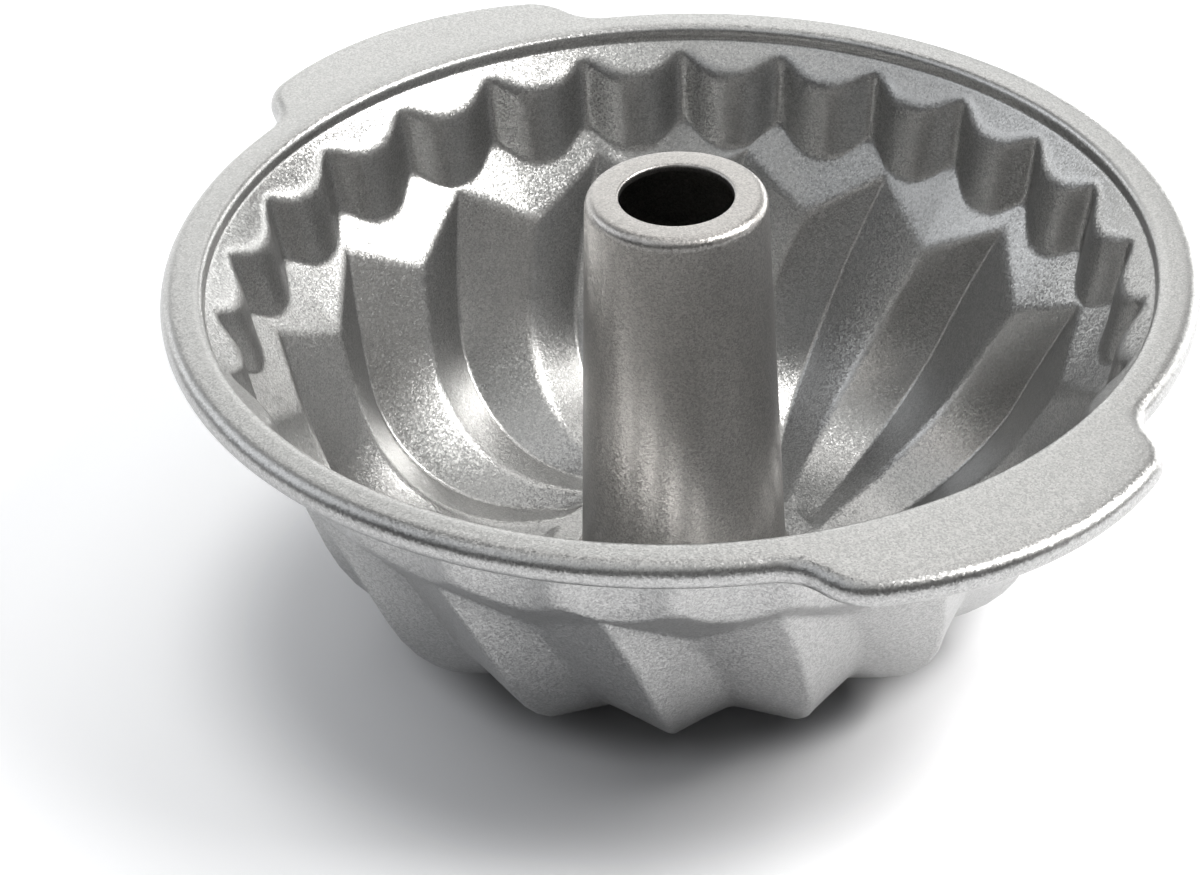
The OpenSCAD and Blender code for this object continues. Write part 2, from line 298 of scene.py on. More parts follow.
# %% Slant of the flutes
STATIONS = 34
SLANT_TOP_A = 17.5
SLANT_FOOT_A = 38.8
SLANT_LATE = 2.18


def flute_line(section):
    """Radius, turn round the axis and height, at evenly spaced stations from the pointed end."""
    along, r, z = section
    share = along / along[-1]
    slant_a = SLANT_TOP_A - (SLANT_TOP_A + SLANT_FOOT_A) * share**SLANT_LATE
    rate = np.degrees(np.tan(np.radians(slant_a)) / r)
    turn = np.concatenate([[0], np.cumsum((rate[1:] + rate[:-1]) / 2 * np.diff(along))])
    at = np.linspace(0, 1, STATIONS)
    return [np.interp(at, share, line) for line in (r, turn, z)]


valley = flute_line(valley_section)
ridge = flute_line(ridge_section)
print("turn of a valley, in degrees, at every sixth station:", np.round(valley[1][::6], 1))

# %% [markdown]
# A ring across all flutes joins each valley point to the ridge points beside it with straight chords,
# and then rounds the corners. A bevel could round them after the mesh is made, but it would cut the
# even grid up. A quadratic Bezier curve leaves one chord and joins the next without a kink, and its
# size is a real length, so that the creases stay crisp all the way down.

# %% Rings across the flutes
VALLEY_ROUND = 1.0
RIDGE_ROUND = 2.0
ROUND_LIMIT = 0.3
CORNER_ROUND = np.tile([VALLEY_ROUND, RIDGE_ROUND], FLUTES)


def rounded(before, corner, after, u):
    """Quadratic Bezier curve from before over corner to after."""
    u = u[:, None]
    return (1 - u) ** 2 * before + 2 * u * (1 - u) * corner + u**2 * after


def flute_corners(k):
    """The valley and ridge points at station k, in turn round the pan."""
    a = FLUTE_TURN_A + PITCH_A * np.arange(FLUTES)
    corners = np.empty((FACETS, 3))
    corners[0::2] = ring(valley[0][k], a + valley[1][k], valley[2][k])
    corners[1::2] = ring(ridge[0][k], a + RIDGE_SHARE * PITCH_A + ridge[1][k], ridge[2][k])
    return corners


def rounded_chords(corners):
    """A point for each column on the chords from corner to corner, with every corner rounded."""
    ahead = np.roll(corners, -1, axis=0)
    to_next = unit(ahead - corners)
    to_last = unit(np.roll(corners, 1, axis=0) - corners)
    width = np.linalg.norm(ahead - corners, axis=1)
    reach = np.minimum(CORNER_ROUND, ROUND_LIMIT * np.minimum(width, np.roll(width, 1)))[:, None]
    near, far = column_facet, (column_facet + 1) % FACETS
    start = corners[near] + to_next[near] * reach[near]
    end = corners[far] + to_last[far] * reach[far]
    on_chord = np.clip((column_share - CREASE_SHARE) / (1 - 2 * CREASE_SHARE), 0, 1)
    near_u = 0.5 + 0.5 * np.clip(column_share / CREASE_SHARE, 0, 1)
    far_u = 0.5 * np.clip((column_share - 1 + CREASE_SHARE) / CREASE_SHARE, 0, 1)
    flat = mix(start, end, on_chord[:, None])
    near_curve = rounded(corners[near] + to_last[near] * reach[near], corners[near], start, near_u)
    far_curve = rounded(end, corners[far], corners[far] + to_next[far] * reach[far], far_u)
    points = np.where((column_share < CREASE_SHARE)[:, None], near_curve, flat)
    return np.where((column_share > 1 - CREASE_SHARE)[:, None], far_curve, points)


flute_rings = np.stack([rounded_chords(flute_corners(k)) for k in range(STATIONS)])
print("flute rings:", flute_rings.shape)

# %% [markdown]
# The band above the flutes is scalloped. A scallop is an even bulge towards the middle of the pan, and
# two bulges meet in a narrow rounded groove. A plain sine wave would make the grooves as wide as the
# bulges, so the distance from the groove is eased with a hypotenuse, which rounds its bottom, and then
# raised to a power, which narrows it and fills out the bulge. The columns are drawn together at the
# grooves, so that these stay smooth.

# %% Scallops of the band
SCALLOPS = 26
SCALLOP_A = 360 / SCALLOPS
SCALLOP_TURN_A = 0.6
GROOVE_CROWD = 0.5
GROOVE_SHARE = 0.22
BULGE_POWER = 2.5


def scallop_columns():
    """Angles of the columns in the band, closer together at the grooves between the scallops."""
    wave_a = SCALLOPS * (column_a - SCALLOP_TURN_A)
    return column_a + GROOVE_CROWD * sin_d(wave_a) * SCALLOP_A / (2 * math.pi)


def scallop_out(a):
    """How far the band goes out at angle a: 0 at the top of a bulge and 1 at the bottom of a groove."""
    scallop = (a - SCALLOP_TURN_A) / SCALLOP_A
    from_groove = 1 - 2 * np.abs(scallop - np.round(scallop))
    eased = np.hypot(from_groove, GROOVE_SHARE)
    most, least = math.hypot(1, GROOVE_SHARE), GROOVE_SHARE
    return ((most - eased) / (most - least)) ** BULGE_POWER


band_a = scallop_columns()


def band_ring(mean_r, mean_z, slope_a):
    """A scalloped ring on a face that slopes at slope_a."""
    r = mean_r + SCALLOP_DEPTH * (scallop_out(band_a) - BULGE_SHARE)
    return ring(r, band_a, mean_z + (r - mean_r) * slope(slope_a))


half_out = scallop_out(np.linspace(0, 360, FINE_STEPS)) > 0.5
print("share of a scallop that its groove takes:", round(float(half_out.mean()), 2))

# %% [markdown]
# The stretches above the flutes are straight in the section, so a ring at each corner is enough. Each
# corner has its own rounding: how far before and after it the curve starts, in millimetres, and the
# largest share of the stretch beside it that the curve may take.

# %% Corners above the flutes
ROUND_SHARE = 0.46
STEP_FOOT_SHARE = 0.3
STEP_TOP_SHARE = 0.68

corner_rings = [
    ("foot of the band", band_ring(BAND_FOOT_R, BAND_FOOT_Z, POINT_A), 1.7, ROUND_SHARE),
    ("top of the band", band_ring(BAND_TOP_R, BAND_TOP_Z, LEDGE_A), 3.2, ROUND_SHARE),
    ("foot of the step", ring(OPENING_R, column_a, STEP_Z), 0.7, STEP_FOOT_SHARE),
    ("top of the step", ring(OPENING_R, column_a, PAN_H), 2.6, STEP_TOP_SHARE),
]
for name, corner, size, _ in corner_rings:
    heights = round(float(corner[:, 2].min()), 1), round(float(corner[:, 2].max()), 1)
    print(name, "lies between heights", heights, "and is rounded over", size, "mm")

# %% [markdown]
# A corner is rounded in the section by cutting it off a little way before and after, and joining the
# two cuts with a Bezier curve, as was done across the flutes. Six rings make a curve that looks smooth
# in a highlight.

# %% Round the corners of the section
FILLET_RINGS = 6


def fillet(before, corner, after, size, share=ROUND_SHARE):
    """Rings that round a corner. size is how far before and after the corner the curve starts."""
    back, on = before - corner, after - corner
    room = share * np.minimum(np.linalg.norm(back, axis=1), np.linalg.norm(on, axis=1))
    reach = np.minimum(size, room)[:, None]
    first, last = corner + unit(back) * reach, corner + unit(on) * reach
    return [rounded(first, corner, last, np.full(COLUMNS, u)) for u in np.linspace(0, 1, FILLET_RINGS)]


def between(ring_a, ring_b, count):
    """Rings spread evenly between two others, without either of them."""
    return [mix(ring_a, ring_b, (i + 1) / (count + 1)) for i in range(count)]


print("rings in a rounded corner:", FILLET_RINGS)

# %% [markdown]
# Now the upper face of the sheet can be put together as one chain of rings: from the hole in the floor,
# over the level floor ring, up the flutes, and over the rounded corners to the flange and the start
# of the bead. One chain leaves no seam, and the light runs over it unbroken, as it does on pressed
# steel. A flute's first two stations and its last one are left out, because the roundings there take
# their place.

# %% The upper face of the sheet
FLOOR_RING_Z = 2.6
FLOOR_HOLE_R = 27.45
FLOOR_ROUND = 0.6
POINT_ROUND = 2.4
FIRST_STATION = 2
LEDGE_RINGS = 3
OTHER_RINGS = 2


def floor_rings():
    """The level floor, from its hole to the rounding at the flutes' foot."""
    foot_a = np.degrees(np.arctan2(flute_rings[-1][:, 1], flute_rings[-1][:, 0]))
    hole = ring(FLOOR_HOLE_R, foot_a, FLOOR_RING_Z)
    foot = flute_rings[-1] * [1, 1, 0] + [0, 0, FLOOR_RING_Z]
    return [hole] + between(hole, foot, OTHER_RINGS) + fillet(hole, foot, flute_rings[-2], FLOOR_ROUND)


def inside_rings():
    """Every ring of the sheet's upper face, from the hole in the floor to the start of the bead."""
    chain = floor_rings()
    chain += [flute_rings[k] for k in range(STATIONS - 2, FIRST_STATION - 1, -1)]
    chain += fillet(flute_rings[FIRST_STATION + 1], flute_rings[0], corner_rings[0][1], POINT_ROUND)
    bead_start = bead_ring(BEAD_R, 0)
    stops = [flute_rings[0]] + [corner for _, corner, _, _ in corner_rings] + [bead_start]
    for i, (name, corner, size, share) in enumerate(corner_rings):
        rounding = fillet(stops[i], corner, stops[i + 2], size, share)
        count = LEDGE_RINGS if name == "top of the band" else OTHER_RINGS
        chain += between(chain[-1], rounding[0], count) + rounding
    return chain + between(chain[-1], bead_start, LEDGE_RINGS)


inside = np.stack(inside_rings())
print("rings on the upper face:", len(inside))

# %% [markdown]
# The sheet is one millimetre thick, so the lower face is the upper one moved along its normals. A
# solidify modifier does the same, but then the feet couldn't be pressed on one face alone. The normals
# come from the grid itself: the step to the next ring crossed with the step to the next column. The
# lowest stretch of each valley is pressed flat, because that is what the pan stands on.

# %% The lower face of the sheet
FOOT_PRESS_H = 0.45
FOOT_EASE_H = 0.5


def grid_normals(grid):
    along = np.gradient(grid, axis=0)
    across = np.roll(grid, -1, axis=1) - np.roll(grid, 1, axis=1)
    return unit(np.cross(across, along))


def press_feet(grid):
    """Flatten what lies under FOOT_PRESS_H to the table, and ease the stretch above it."""
    out = grid.copy()
    over = np.clip((grid[..., 2] - FOOT_PRESS_H) / FOOT_EASE_H, 0, 1)
    out[..., 2] = np.maximum(np.where(over < 1, over * grid[..., 2], grid[..., 2]), 0)
    return out


normals = grid_normals(inside)
if normals[0, 0, 2] < 0:
    normals = -normals
outside = press_feet(inside - normals * SHEET)
print("lowest point of the lower face, in mm:", round(float(outside[..., 2].min()), 3))
print("points that stand on the table:", int((outside[..., 2] == 0).sum()))

# %% [markdown]
# The bead is the sheet's own edge, rolled outwards and under. It is a tube that follows the outline at
# the same distance everywhere, so it is made from rings that turn round the bead's centre line, first on
# the outer face of the curl and then back on the inner one. Inside the curl, and on the lower face,
# every second ring is enough, because nobody sees them close up.

# %% The rolled bead
CURL_A = 290.0
CURL_RINGS = 18

curl = np.linspace(0, CURL_A, CURL_RINGS)
bead_outer = np.stack([bead_ring(BEAD_R, a) for a in curl])
bead_inner = np.stack([bead_ring(BEAD_R - SHEET, a) for a in curl[::-2]])
back_down = np.concatenate([outside[:-1:2], outside[-1:]])[::-1]
shell_grid = np.concatenate([inside, bead_outer, bead_inner, back_down])
print("rings in the whole section of the sheet:", len(shell_grid))

# %% [markdown]
# The rings now come back round to the first one, so the grid closes into a solid sheet with a hole in
# its floor. The mesh is made straight from the arrays, which is quick and gives every face its place.
# The rings are handed over in reverse, so that the faces look outwards. The new piece then rides on the
# pan's one body, takes the place of the solid shell, and gets the coated finish.


# %% The fluted shell
def closed_grid(grid, name):
    """A mesh from rings that come back round to the first one. Faces look outwards."""
    rings, columns = grid.shape[:2]
    i = np.arange(rings)[:, None]
    j = np.arange(columns)[None, :]
    i_next, j_next = (i + 1) % rings, (j + 1) % columns
    quad = [i * columns + j, i * columns + j_next, i_next * columns + j_next, i_next * columns + j]
    faces = np.stack(quad, axis=-1).reshape(-1, 4)
    mesh = bpy.data.meshes.new(name)
    mesh.from_pydata((grid.reshape(-1, 3) * MM).tolist(), [], faces.tolist())
    mesh.shade_smooth()
    mesh.update()
    piece = bpy.data.objects.new(name, mesh)
    bpy.context.scene.collection.objects.link(piece)
    return piece


shell = closed_grid(shell_grid[::-1], "fluted_shell")
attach(shell, "root")
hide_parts("pan_shell")
print("shell:", len(shell.data.vertices), "points", len(shell.data.polygons), "quads")

# %% [markdown]
# The tube is drawn as a cone from one piece of sheet. A plain cone with a bevel would miss its foot and
# its mouth, so it is turned from a profile, as on a lathe. The profile is a closed line: up the outside,
# over the rounded top, down into the hole, and back inside to the foot, which is clinched round the
# hole in the floor. A real drawn edge is never sharp, so each corner is a short curve.

# %% Sizes of the centre tube
TUBE_TOP_R = 22.9
TUBE_FOOT_R = 27.3
TUBE_EDGE_R = 3.2
HOLE_R = 14.4
COLLAR_H = 1.1
SHOULDER_W = 2.2
FLARE_W = 0.35
FLARE_LIP = 0.2
FLARE_H = 5.0
CLINCH_W = 5.0
SEAM_GAP = 0.05

shoulder_r = TUBE_FOOT_R + SHOULDER_W
seat_z = FLOOR_RING_Z + SEAM_GAP
under_z = FLOOR_RING_Z - SHEET - SEAM_GAP
flare_z = seat_z + SHEET + FLARE_H
flare_r = mix(TUBE_FOOT_R, TUBE_TOP_R, (flare_z - FLOOR_RING_Z) / (TUBE_Z - FLOOR_RING_Z))
collar_z = TUBE_Z - SHEET - COLLAR_H
print("the tube's foot flares out from radius", round(flare_r, 1), "to", round(shoulder_r, 1))

# %% [markdown]
# Each corner of the profile is a radius, a height and the size of its curve. The list starts at the edge
# of the shoulder and goes round the section of the sheet: outside face, top, collar, inside face and
# the clinched foot.

# %% Profile of the centre tube
CURVE_POINTS = 8


def round_profile(corners):
    """A closed line of points from (radius, height, size) corners, each rounded with its own size."""
    points = np.array([corner[:2] for corner in corners], float)
    out = []
    for i, (_, _, size) in enumerate(corners):
        here, back, on = points[i], points[i - 1], points[(i + 1) % len(points)]
        if size == 0:
            out.append(here[None])
            continue
        first, last = here + unit(back - here) * size, here + unit(on - here) * size
        out.append(rounded(first, here, last, np.linspace(0, 1, CURVE_POINTS)))
    return np.concatenate(out)


tube_profile = round_profile([
    (shoulder_r, seat_z, 0.25),
    (shoulder_r, seat_z + SHEET, 0.6),
    (flare_r + FLARE_W, seat_z + SHEET + FLARE_LIP, 1.1),
    (flare_r, flare_z, 1.0),
    (TUBE_TOP_R, TUBE_Z, TUBE_EDGE_R),
    (HOLE_R, TUBE_Z, 1.0),
    (HOLE_R, collar_z, 0.3),
    (HOLE_R + SHEET, collar_z, 0.3),
    (HOLE_R + SHEET, TUBE_Z - SHEET, 0.5),
    (TUBE_TOP_R - SHEET, TUBE_Z - SHEET, 1.6),
    (TUBE_FOOT_R - SHEET, seat_z, 0),
    (TUBE_FOOT_R - SHEET, under_z - SHEET, 0.9),
    (TUBE_FOOT_R + CLINCH_W, under_z - SHEET, 0.3),
    (TUBE_FOOT_R + CLINCH_W, under_z, 0.3),
    (TUBE_FOOT_R, under_z, 0),
    (TUBE_FOOT_R, seat_z, 0),
])
print("points in the tube's profile:", len(tube_profile))

# %% [markdown]
# Turned round the axis, each point of the profile becomes a ring, so the same function that closed the
# shell closes the tube. It is a second piece, because on the real pan it is a second pressing.

# %% Turn the profile round the axis
TUBE_COLUMNS = 192

turn_a = np.linspace(0, 360, TUBE_COLUMNS, endpoint=False)
tube_grid = np.stack([ring(r, turn_a, z) for r, z in tube_profile])
tube = closed_grid(tube_grid, "drawn_tube")
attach(tube, "root")
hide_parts("centre_tube")
print("tube:", len(tube.data.vertices), "points", len(tube.data.polygons), "quads")

# %% [markdown]
# A material is a tree of nodes that are joined by links. Making each node takes several lines of code, so
# a few helpers keep the recipes below short. Each helper makes one node, sets or links its inputs, and
# gives back the output that the next node needs.


# %% Helpers for nodes
def link(tree, source, target):
    tree.links.new(source, target)


def feed(tree, value, target):
    """Set a socket to a number or a set of numbers, or link it where the value is another socket."""
    if isinstance(value, (int, float, tuple)):
        target.default_value = value
    else:
        link(tree, value, target)


def math_node(tree, operation, *values, clamp=False):
    node = tree.nodes.new("ShaderNodeMath")
    node.operation = operation
    node.use_clamp = clamp
    for place, value in enumerate(values):
        feed(tree, value, node.inputs[place])
    return node.outputs[0]


def vector_node(tree, operation, *values, scale=None):
    node = tree.nodes.new("ShaderNodeVectorMath")
    node.operation = operation
    for place, value in enumerate(values):
        feed(tree, value, node.inputs[place])
    if scale is not None:
        feed(tree, scale, node.inputs["Scale"])
    return node.outputs["Value"] if operation == "LENGTH" else node.outputs["Vector"]


def noise_node(tree, vector, scale, detail):
    node = tree.nodes.new("ShaderNodeTexNoise")
    link(tree, vector, node.inputs["Vector"])
    feed(tree, scale, node.inputs["Scale"])
    node.inputs["Detail"].default_value = detail
    return node.outputs["Fac"]


def color_mix(tree, share, color_a, color_b):
    """A blend from color_a to color_b."""
    node = tree.nodes.new("ShaderNodeMix")
    node.data_type = "RGBA"
    for name, value in (("Factor", share), ("A", color_a), ("B", color_b)):
        feed(tree, value, node.inputs[name])
    return node.outputs["Result"]


def object_place(tree):
    """The place on the piece, in metres from the pan's origin."""
    return tree.nodes.new("ShaderNodeTexCoord").outputs["Object"]


print("helpers for nodes:", [f.__name__ for f in (math_node, vector_node, noise_node, color_mix)])

# %% [markdown]
# The coating is a silver-grey nonstick paint full of fine metal flakes. Close up it is a grain of light
# and dark specks, 0.4 mm across, and each flake also tilts the light a little. A painted texture would
# have to be unwrapped over the flutes. A Voronoi texture needs no unwrapping: it cuts space into cells
# and gives each one a random colour, so every cell can be a flake. Its three channels serve as a random
# direction too, and the surface's normal leans that way.

# %% Flakes in the coating
FLAKE_MM = 0.4
NO_LEAN = (0.5, 0.5, 0.5)


def flake_cells(tree, place, scale):
    """One random colour for each flake."""
    cells = tree.nodes.new("ShaderNodeTexVoronoi")
    link(tree, place, cells.inputs["Vector"])
    link(tree, scale, cells.inputs["Scale"])
    return cells.outputs["Color"]


def tilted_normal(tree, cells, tilt):
    """The surface's normal, leaned another way in each flake."""
    lean = vector_node(tree, "SUBTRACT", cells, NO_LEAN)
    lean = vector_node(tree, "SCALE", lean, scale=tilt)
    face = tree.nodes.new("ShaderNodeNewGeometry").outputs["Normal"]
    return vector_node(tree, "NORMALIZE", vector_node(tree, "ADD", face, lean))


print("flakes to the metre:", 1 / (FLAKE_MM * MM))

# %% [markdown]
# A sprayed coating is never quite even. Wide, faint clouds make it a little lighter or darker and a
# little smoother or rougher, so that a big facet isn't one flat tone. A soft noise texture gives the
# clouds. Its middle value is a half, so half of the shade is taken off again.

# %% Clouds in the coating
CLOUD_DETAIL = 3.0
CLOUD_SHADE = 0.25
CLOUD_ROUGH = 0.1


def flake_color(tree, cells, cloud, dark, light):
    """A tone between dark and light for each flake, shaded by the clouds."""
    channels = tree.nodes.new("ShaderNodeSeparateColor")
    link(tree, cells, channels.inputs["Color"])
    shade = math_node(tree, "MULTIPLY_ADD", cloud, CLOUD_SHADE, -CLOUD_SHADE / 2)
    tone = math_node(tree, "ADD", channels.outputs["Red"], shade, clamp=True)
    return color_mix(tree, tone, dark, light)


print("the clouds shade a flake by up to", CLOUD_SHADE / 2, "either way")

# %% [markdown]
# The shell and the tube share this grain, so it is a node group with named inputs and outputs. It is
# built once and gives a colour, a roughness and a normal, and each material places it with its own
# values.

# %% Node group: flake grain
GROUP_INPUTS = [
    ("Dark", "NodeSocketColor", (0.3, 0.3, 0.3, 1)),
    ("Light", "NodeSocketColor", (0.6, 0.6, 0.6, 1)),
    ("Flakes per Metre", "NodeSocketFloat", 1 / (FLAKE_MM * MM)),
    ("Tilt", "NodeSocketFloat", 0.16),
    ("Cloud Scale", "NodeSocketFloat", 30.0),
    ("Roughness", "NodeSocketFloat", 0.3),
]
GROUP_OUTPUTS = [
    ("Color", "NodeSocketColor"),
    ("Roughness", "NodeSocketFloat"),
    ("Normal", "NodeSocketVector"),
]


def flake_group():
    group = bpy.data.node_groups.new("flake_grain", "ShaderNodeTree")
    for name, kind, value in GROUP_INPUTS:
        made = group.interface.new_socket(name=name, in_out="INPUT", socket_type=kind)
        made.default_value = value
    for name, kind in GROUP_OUTPUTS:
        group.interface.new_socket(name=name, in_out="OUTPUT", socket_type=kind)
    given = group.nodes.new("NodeGroupInput").outputs
    result = group.nodes.new("NodeGroupOutput").inputs
    place = object_place(group)
    cells = flake_cells(group, place, given["Flakes per Metre"])
    cloud = noise_node(group, place, given["Cloud Scale"], CLOUD_DETAIL)
    link(group, tilted_normal(group, cells, given["Tilt"]), result["Normal"])
    link(group, flake_color(group, cells, cloud, given["Dark"], given["Light"]), result["Color"])
    rough = math_node(group, "MULTIPLY_ADD", cloud, CLOUD_ROUGH, given["Roughness"])
    link(group, rough, result["Roughness"])
    return group


flakes = flake_group()
print("node group:", flakes.name, [s.name for s in flakes.interface.items_tree])

# %% [markdown]
# The material itself holds the shader. The flakes lie close together and cover nearly all of the
# surface, so the coating reflects as a metal does, and the binder over them shows as its satin
# roughness. The tube is a touch warmer than the shell, as it is in the photograph.

# %% Material: silver-grey coating
COAT_ROUGH = 0.30
FLAKE_TILT = 0.16
SHELL_DARK, SHELL_LIGHT = (0.33, 0.33, 0.327), (0.525, 0.525, 0.52)
TUBE_DARK, TUBE_LIGHT = (0.32, 0.311, 0.302), (0.52, 0.505, 0.49)


def coating(name, dark, light):
    """The coating with its flakes in tones from dark to light."""
    material = bpy.data.materials.new(name)
    material.use_nodes = True
    tree = material.node_tree
    shader = tree.nodes["Principled BSDF"]
    grain = tree.nodes.new("ShaderNodeGroup")
    grain.node_tree = flakes
    grain.inputs["Dark"].default_value = (*dark, 1)
    grain.inputs["Light"].default_value = (*light, 1)
    grain.inputs["Roughness"].default_value = COAT_ROUGH
    grain.inputs["Tilt"].default_value = FLAKE_TILT
    for given, wanted in (("Normal", "Normal"), ("Color", "Base Color"), ("Roughness", "Roughness")):
        link(tree, grain.outputs[given], shader.inputs[wanted])
    shader.inputs["Metallic"].default_value = 1.0
    return material


shell.data.materials.append(coating("shell_coating", SHELL_DARK, SHELL_LIGHT))
tube.data.materials.append(coating("tube_coating", TUBE_DARK, TUBE_LIGHT))
for piece in (shell, tube):
    print(piece.name, "is finished with", piece.data.materials[0].name)

# %% [markdown]
# The wire in the bead is the solid model's own piece. The bead closes it in, so little of it is ever
# seen, but it gets the finish of drawn steel: a bare metal with a fine grain. One noise texture gives
# both the grain's tones and its relief, so that each dark spot is also a shallow pit.

# %% Material: drawn wire
GRAIN_SCALE = 900.0
GRAIN_DETAIL = 4.0
GRAIN_DARK = (0.32, 0.33, 0.34, 1)
GRAIN_LIGHT = (0.62, 0.63, 0.64, 1)
GRAIN_RELIEF = 0.2
GRAIN_DEPTH = 0.00005
WIRE_ROUGH = 0.35


def wire_material():
    material = bpy.data.materials.new("drawn_wire")
    material.use_nodes = True
    tree = material.node_tree
    shader = tree.nodes["Principled BSDF"]
    grain = noise_node(tree, object_place(tree), GRAIN_SCALE, GRAIN_DETAIL)
    ramp = tree.nodes.new("ShaderNodeValToRGB")
    ramp.color_ramp.elements[0].color = GRAIN_DARK
    ramp.color_ramp.elements[1].color = GRAIN_LIGHT
    link(tree, grain, ramp.inputs["Fac"])
    link(tree, ramp.outputs["Color"], shader.inputs["Base Color"])
    relief = tree.nodes.new("ShaderNodeBump")
    relief.inputs["Strength"].default_value = GRAIN_RELIEF
    relief.inputs["Distance"].default_value = GRAIN_DEPTH
    link(tree, grain, relief.inputs["Height"])
    link(tree, relief.outputs["Normal"], shader.inputs["Normal"])
    shader.inputs["Metallic"].default_value = 1.0
    shader.inputs["Roughness"].default_value = WIRE_ROUGH
    return material


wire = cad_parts["rim_wire"]
wire.data.materials.clear()
wire.data.materials.append(wire_material())
print(wire.name, "is finished with", wire.data.materials[0].name)

# %% [markdown]
# The camera was matched to the photograph: the rim, the hole in the tube and the handles fix its place,
# its turn and its lens. The place of the rim's middle, as the camera sees it, is given in rim radii,
# because a photograph tells proportions and no lengths. Angles are in radians. The handles lie along
# X in the frame, and the photograph looks at them from the side, so the camera is turned about the
# tube's axis into the frame.

# %% Place and turn of the camera
TILT = 0.6152
ROLL = 0.03941
HANDLE_TURN = math.radians(58.8)
RIM_FROM_CAMERA = Vector((0.1496, -0.3538, 6.4930))
RIM_RADIUS_M = 0.130

ahead = Vector((0, math.cos(TILT), -math.sin(TILT)))
down = Vector((0, -math.sin(TILT), -math.cos(TILT)))
right = Vector((1, 0, 0))
image_right = math.cos(ROLL) * right + math.sin(ROLL) * down
image_down = -math.sin(ROLL) * right + math.cos(ROLL) * down
axes = Matrix((image_right, image_down, ahead))
eye = -(axes.transposed() @ RIM_FROM_CAMERA) * RIM_RADIUS_M
look = Matrix((image_right, -image_down, -ahead)).transposed()
to_frame = Matrix.Rotation(HANDLE_TURN, 3, "Z")
print("the camera looks down by", round(math.degrees(TILT), 1), "degrees")

# %% [markdown]
# A long lens, about 100 mm on a full-size sensor, keeps the far side of the rim nearly as wide as the
# near one. The lens comes from the fitted focal length in the photograph's pixels.

# %% Camera
IMAGE_W = 1200
FOCAL_PX = 3365.3
SENSOR_MM = 36.0
CLIP_NEAR, CLIP_FAR = 0.05, 20

camera_data = bpy.data.cameras.new("camera")
camera_data.sensor_width = SENSOR_MM
camera_data.lens = FOCAL_PX / IMAGE_W * SENSOR_MM
camera_data.clip_start, camera_data.clip_end = CLIP_NEAR, CLIP_FAR
camera = bpy.data.objects.new("camera", camera_data)
bpy.context.scene.collection.objects.link(camera)
place = to_frame @ eye + Vector((0, 0, PAN_H * MM))
camera.matrix_world = Matrix.Translation(place) @ (to_frame @ look).to_4x4()
bpy.context.scene.camera = camera
print("camera at", in_mm([place]), "mm, with a lens of", round(camera_data.lens, 1), "mm")

# %% [markdown]
# The pan stands in a soft studio. Places there are given as the photographer would say them: so far to
# the right, so far beyond the pan, and so high. Each lamp is a rectangle that looks at the middle of
# the pan from the same distance, so that only its direction, its size and its power have to be set.


# %% Lamps as seen from the camera
def studio(side, beyond, up):
    """A point in the frame: metres to the camera's right, away from it, and up from the table."""
    return to_frame @ Vector((side, beyond, 0)) + Vector((0, 0, up))


LAMP_FAR = 1.2
LAMP_AIM_Z = 0.05
middle = Vector((0, 0, LAMP_AIM_Z))


def lamp_place(round_a, up_a):
    """A place LAMP_FAR from the pan, round_a degrees to the right of straight ahead, up_a high."""
    flat = LAMP_FAR * math.cos(math.radians(up_a))
    up = LAMP_FAR * math.sin(math.radians(up_a)) + LAMP_AIM_Z
    a = math.radians(round_a)
    return studio(flat * math.sin(a), flat * math.cos(a), up)


def soft_lamp(name, place, target, size, watts, color):
    """A rectangular lamp at place that shines at target."""
    data = bpy.data.lights.new(name, "AREA")
    data.shape = "RECTANGLE"
    data.size, data.size_y = size
    data.energy = watts
    data.color = color
    lamp = bpy.data.objects.new(name, data)
    bpy.context.scene.collection.objects.link(lamp)
    lamp.location = place
    lamp.rotation_mode = "QUATERNION"
    lamp.rotation_quaternion = (target - place).to_track_quat("-Z", "Y")


print("a lamp straight above hangs at", in_mm([lamp_place(0, 90)]), "mm")

# %% [markdown]
# Metal shows its surroundings, so a single lamp would leave most of the pan black. Twelve soft ones
# surround it, as the panels and reflectors of a product studio do. Two strong, smaller ones at the
# right make the shadow at the left and the light side of the tube. Those beyond the pan put the sheen
# on the flange and the handles, which mirror them towards the camera. Weaker ones at the left and the
# near side keep the darker facets readable. A row gives a lamp's name, its degrees round to the right
# and up, its size in metres, its watts and the colour of its light.

# %% Twelve soft lamps
WARM = (1.0, 0.985, 0.965)
WHITE = (1.0, 1.0, 0.985)
COOL = (0.95, 0.97, 1.0)

LAMPS = [
    ("low_far_right", 45, 10, (1.1, 0.5), 5.2, WHITE),
    ("key_right", 100, 54, (0.5, 0.4), 9.0, WARM),
    ("side_right", 88, 36, (0.4, 0.4), 8.0, WARM),
    ("beyond", 0, 35, (0.9, 0.5), 1.9, WHITE),
    ("low_beyond", 338, 17, (1.7, 0.6), 4.3, WHITE),
    ("high_beyond", 20, 58, (0.6, 0.6), 1.7, WARM),
    ("left_fill", 288, 35, (1.0, 0.6), 2.9, COOL),
    ("left_high", 270, 60, (0.8, 0.6), 1.0, COOL),
    ("above", 0, 90, (0.8, 0.8), 1.8, WHITE),
    ("near_left", 225, 50, (0.6, 0.6), 0.75, COOL),
    ("near_high", 180, 60, (1.0, 0.6), 0.8, WHITE),
    ("near_low", 180, 25, (1.0, 0.5), 0.2, WHITE),
]
for name, round_a, up_a, size, watts, color in LAMPS:
    soft_lamp(name, lamp_place(round_a, up_a), middle, size, watts, color)
all_watts = sum(watts for _, _, _, _, watts, _ in LAMPS)
print("lamps:", len(LAMPS), "with", round(all_watts, 1), "watts in all")
